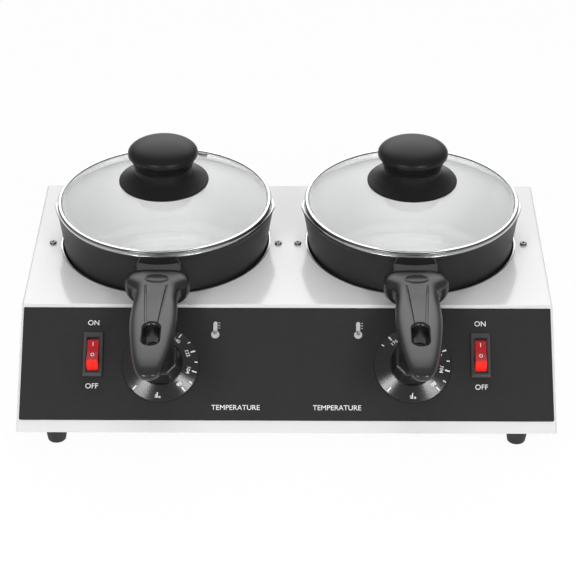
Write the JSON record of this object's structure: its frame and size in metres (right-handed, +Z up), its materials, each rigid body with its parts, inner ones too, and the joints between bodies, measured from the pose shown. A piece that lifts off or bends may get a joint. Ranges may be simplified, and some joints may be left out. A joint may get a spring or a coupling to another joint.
{
  "type": "chocolate melting pot",
  "caption": "Countertop melting pot with lidded pans in heated wells, thermostat dials and rocker switches on a sloped front panel.",
  "frame": {"origin": "centre of the bounding box, on the plane that the feet stand on", "axes": "+X to the right along the front, +Y to the back, +Z up"},
  "size_m": [0.396, 0.3066, 0.1637],
  "materials": {
    "white_enamel": "glossy enamel",
    "panel_print": "fine matt texture with white print",
    "bare_steel": "zinc plated",
    "black_rubber": "matt",
    "well_aluminium": "pressed, satin",
    "heater_alloy": "cast",
    "insulation": "pressed fibre board",
    "copper": "bright",
    "pin_brass": "nickel plated",
    "lead_brown": "sleeve",
    "lead_blue": "sleeve",
    "lead_green": "sleeve",
    "block_nylon": "natural nylon",
    "inlet_plastic": "moulded",
    "switch_plastic": "moulded",
    "rocker_red": "tinted, lit from within",
    "dial_metal": "dark spun finish with white scale",
    "black_bakelite": "satin to glossy moulding",
    "pan_coating": "satin black outside, grey inside",
    "lid_steel": "polished",
    "lid_glass": "clear tempered"
  },
  "bodies": {
    "base": {"casing": "white_enamel", "base_plate": "bare_steel", "control_panel": "panel_print", "rubber_feet": "black_rubber", "foot_screws": "bare_steel", "foot_nuts": "bare_steel", "base_plate_screws": "bare_steel", "well_screws": "bare_steel", "well_nuts": "bare_steel", "heater_discs": "heater_alloy", "insulation_pads": "insulation", "heater_clamp_plates": "bare_steel", "heater_nuts": "bare_steel", "thermostat_screws": "bare_steel", "capillary_bulbs": "copper", "switch_terminals": "pin_brass", "power_inlet": "inlet_plastic", "inlet_pins": "pin_brass", "inlet_screws": "bare_steel", "terminal_block": "block_nylon", "wiring_live": "lead_brown", "wiring_neutral": "lead_blue", "wiring_earth": "lead_green", "left_well": "well_aluminium", "left_thermostat": "bare_steel", "left_switch_housing": "switch_plastic", "right_well": "well_aluminium", "right_thermostat": "bare_steel", "right_switch_housing": "switch_plastic"},
    "left_dial": {"left_thermostat_shaft": "bare_steel", "left_dial_skirt": "dial_metal", "left_dial_knob": "black_bakelite"},
    "left_rocker": {"left_rocker": "rocker_red"},
    "left_pan": {"left_pan": "pan_coating", "left_handle_bracket": "bare_steel", "left_handle_ferrule": "black_bakelite", "left_handle": "black_bakelite", "left_handle_screw": "bare_steel"},
    "left_lid": {"left_lid_glass": "lid_glass", "left_lid_rim": "lid_steel", "left_lid_knob_skirt": "black_bakelite", "left_lid_knob": "black_bakelite", "left_lid_screw": "bare_steel", "left_vent_grommet": "lid_steel"},
    "right_dial": {"right_thermostat_shaft": "bare_steel", "right_dial_skirt": "dial_metal", "right_dial_knob": "black_bakelite"},
    "right_rocker": {"right_rocker": "rocker_red"},
    "right_pan": {"right_pan": "pan_coating", "right_handle_bracket": "bare_steel", "right_handle_ferrule": "black_bakelite", "right_handle": "black_bakelite", "right_handle_screw": "bare_steel"},
    "right_lid": {"right_lid_glass": "lid_glass", "right_lid_rim": "lid_steel", "right_lid_knob_skirt": "black_bakelite", "right_lid_knob": "black_bakelite", "right_lid_screw": "bare_steel", "right_vent_grommet": "lid_steel"}
  },
  "joints": [
    {"name": "left_dial_turn", "type": "hinge", "parent": "base", "child": "left_dial", "pos_m": [-0.093, -0.07353, 0.05196], "axis": [0, -0.6462, 0.7632], "range_deg": [-36, 225]},
    {"name": "left_rocker_tilt", "type": "hinge", "parent": "base", "child": "left_rocker", "pos_m": [-0.1433, -0.06074, 0.04877], "axis": [1, 0, 0], "range_deg": [0, 30]},
    {"name": "left_pan_lift", "type": "slide", "parent": "base", "child": "left_pan", "axis": [0, 0, 1], "range_m": [0, 0.08]},
    {"name": "left_lid_lift", "type": "slide", "parent": "left_pan", "child": "left_lid", "axis": [0, 0, 1], "range_m": [0, 0.06]},
    {"name": "right_dial_turn", "type": "hinge", "parent": "base", "child": "right_dial", "pos_m": [0.093, -0.07353, 0.05196], "axis": [0, -0.6462, 0.7632], "range_deg": [-36, 225]},
    {"name": "right_rocker_tilt", "type": "hinge", "parent": "base", "child": "right_rocker", "pos_m": [0.1433, -0.06074, 0.04877], "axis": [1, 0, 0], "range_deg": [0, 30]},
    {"name": "right_pan_lift", "type": "slide", "parent": "base", "child": "right_pan", "axis": [0, 0, 1], "range_m": [0, 0.08]},
    {"name": "right_lid_lift", "type": "slide", "parent": "right_pan", "child": "right_lid", "axis": [0, 0, 1], "range_m": [0, 0.06]}
  ]
}
